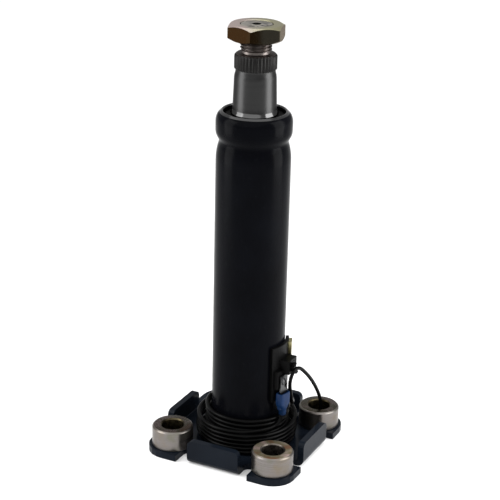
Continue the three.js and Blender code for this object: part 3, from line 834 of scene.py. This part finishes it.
def blue_terminal():
    """The push-on terminal's sleeve: round at the lead, flat over the tab, and open at the top."""
    low, high = low_mm("blue_terminal").z, high_mm("blue_terminal").z
    half_x, half_y = 2.3, 3.9
    shape = [  # half its size through and along the tab, the height, and how square it is
        (1.5, 1.5, 0.0, 2),
        (1.85, 1.85, 0.25, 2),
        (1.95, 1.95, 1.6, 2),
        (2.0, 2.1, 3.0, 2),
        (2.15, 2.9, 4.4, 2.6),
        (half_x, 3.7, 5.8, 3.6),
        (half_x, half_y, 7.0, 4.5),
        (half_x, half_y, high - low - 0.5, 4.5),
        (half_x - 0.15, half_y - 0.15, high - low - 0.12, 4.5),
        (half_x - 0.4, half_y - 0.4, high - low, 4.5),
        (half_x - 0.8, half_y - 0.8, high - low - 0.1, 4.5),
        (half_x - 1.0, half_y - 0.55, high - low - 0.7, 4.5),
        (half_x - 1.1, half_y - 0.45, high - low - 9.0, 4.5),
    ]
    sections = [super_ring(x, y, low + z, power) for x, y, z, power in shape]
    sleeve = loft("blue_terminal_sleeve", sections)
    turn = Matrix.Rotation(TAB_ANGLE, 4, "Z") @ Matrix.Translation((TAB_R * MM, 0, 0))
    sleeve.data.transform(turn)
    return sleeve


terminal = place(blue_terminal(), "column", "blue_terminal", slot="blue_plastic")
BLUE_PLASTIC.on(terminal)

# ---- the brush's spring -------------------------------------------------------------------


def brush_spring():
    """The brush's spring, closed at both ends and open between them."""
    low, high = low_mm("brush_spring"), high_mm("brush_spring")
    wire, sides, per_turn, turns = 0.3, 8, 24, 7.0
    coil_r, length = (high.z - low.z) / 2 - wire, high.x - low.x - 2 * wire
    axis_z = (high.z + low.z) / 2
    points, faces = [], []
    rows = int(turns * per_turn)
    for row in range(rows + 1):
        share = row / rows
        angle = 2 * math.pi * turns * share
        x = low.x + wire + length * (0.75 * ease(share) + 0.25 * share)
        for side in range(sides):
            turn = 2 * math.pi * side / sides
            r = coil_r + wire * math.cos(turn)
            y, z = r * math.cos(angle), axis_z + r * math.sin(angle)
            points.append((x + wire * math.sin(turn), y, z))
    for row in range(rows):
        for side in range(sides):
            a, b = row * sides + side, row * sides + (side + 1) % sides
            faces.append((a, b, b + sides, a + sides))
    faces += [tuple(range(sides))[::-1], tuple(range(rows * sides, (rows + 1) * sides))]
    return mesh_object("brush_spring_coil", points, faces, 60)


spring = place(brush_spring(), "column", "brush_spring", slot="shaft_steel")
SPRING_STEEL.on(spring)
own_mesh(spring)

# ---- the CAD nodes that stay --------------------------------------------------------------


def keep(paint, edge, *nodes):
    """CAD nodes that stay as they are, with soft edges and a material of their own."""
    for name in nodes:
        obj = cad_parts[name]
        soften(obj.data, 35)
        if edge:
            bevel(obj, edge)
        paint.on(obj)


keep(BASE_PAINT, 0.45, "base_plate")
keep(BLACK_PLASTIC, 0.3, "brush_holder")
keep(BLACK_PLASTIC, 0.15, "slip_ring_spool", "brush_plug")
keep(BRASS, 0.12, "contact_strap", "slip_ring")
keep(BRASS, 0, "bearing_cage")
keep(TINNED, 0.12, "contact_tab")
keep(TINNED, 0, "tab_rivet")
keep(NYLON, 0.2, "lower_bush")
keep(BRIGHT_STEEL, 0.2, "bearing_outer_race", "bearing_inner_race", "coupling_pin")
keep(BRIGHT_STEEL, 0, *(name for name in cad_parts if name.startswith("bearing_ball")))
keep(STEEL, 0.2, "coupling_sleeve", "shaft_circlip")
keep(CARBON, 0.1, "contact_brush")

# ---- the floor and the lights -------------------------------------------------------------


def floor():
    """A large matt floor of pale card."""
    half = 6000
    level = low_mm("base_plate").z - 0.05
    corners = ((-half, -half), (half, -half), (half, half), (-half, half))
    points = [(x, y, level) for x, y in corners]
    sheet = mesh_object("floor", points, [(0, 1, 2, 3)])
    return sheet


card = Paint("floor_card", Specular_IOR_Level=0.1, Roughness=0.9)
card.colour(card.ramp(card.noise(3, detail=3), (0.3, 0.90), (0.7, 0.92)))
card.on(floor())


FRONT = -64.2  # the camera's side of the object, in degrees round Z from +X


def direction(azimuth, elevation):
    """The direction from the object towards a light, its azimuth in degrees from the front."""
    turn, up = math.radians(azimuth + FRONT), math.radians(elevation)
    return Vector((math.cos(turn) * math.cos(up), math.sin(turn) * math.cos(up), math.sin(up)))


def area_light(name, azimuth, elevation, distance, width, height, power):
    """A soft box that looks at the middle of the object."""
    offset = direction(azimuth, elevation) * distance
    data = bpy.data.lights.new(name, "AREA")
    data.shape = "RECTANGLE"
    data.size = width
    data.size_y = height
    data.energy = power
    lamp = new_object(name, data)
    lamp.location = Vector((0, 0, 0.1)) + offset
    lamp.rotation_euler = (-offset).to_track_quat("-Z", "Y").to_euler()
    lamp.visible_camera = False


area_light("soft_left", azimuth=-80, elevation=20, distance=0.42, width=0.24, height=0.5, power=1.8)
area_light("soft_right", azimuth=80, elevation=20, distance=0.42, width=0.26, height=0.5, power=2.7)


def broad_sky(irradiance, spread, azimuth, elevation):
    """An even light from a wide part of the sky."""
    data = bpy.data.lights.new("broad_sky", "SUN")
    data.energy = irradiance
    data.angle = math.radians(spread)
    lamp = new_object("broad_sky", data)
    lamp.rotation_euler = (-direction(azimuth, elevation)).to_track_quat("-Z", "Y").to_euler()


broad_sky(irradiance=2.3, spread=100, azimuth=-30, elevation=65)

world = bpy.data.worlds.new("studio")
world.use_nodes = True
world.node_tree.nodes["Background"].inputs["Color"].default_value = (1, 1, 1, 1)
world.node_tree.nodes["Background"].inputs["Strength"].default_value = 0.5
bpy.context.scene.world = world
bpy.context.scene.view_settings.view_transform = "Standard"

bpy.context.view_layer.update()
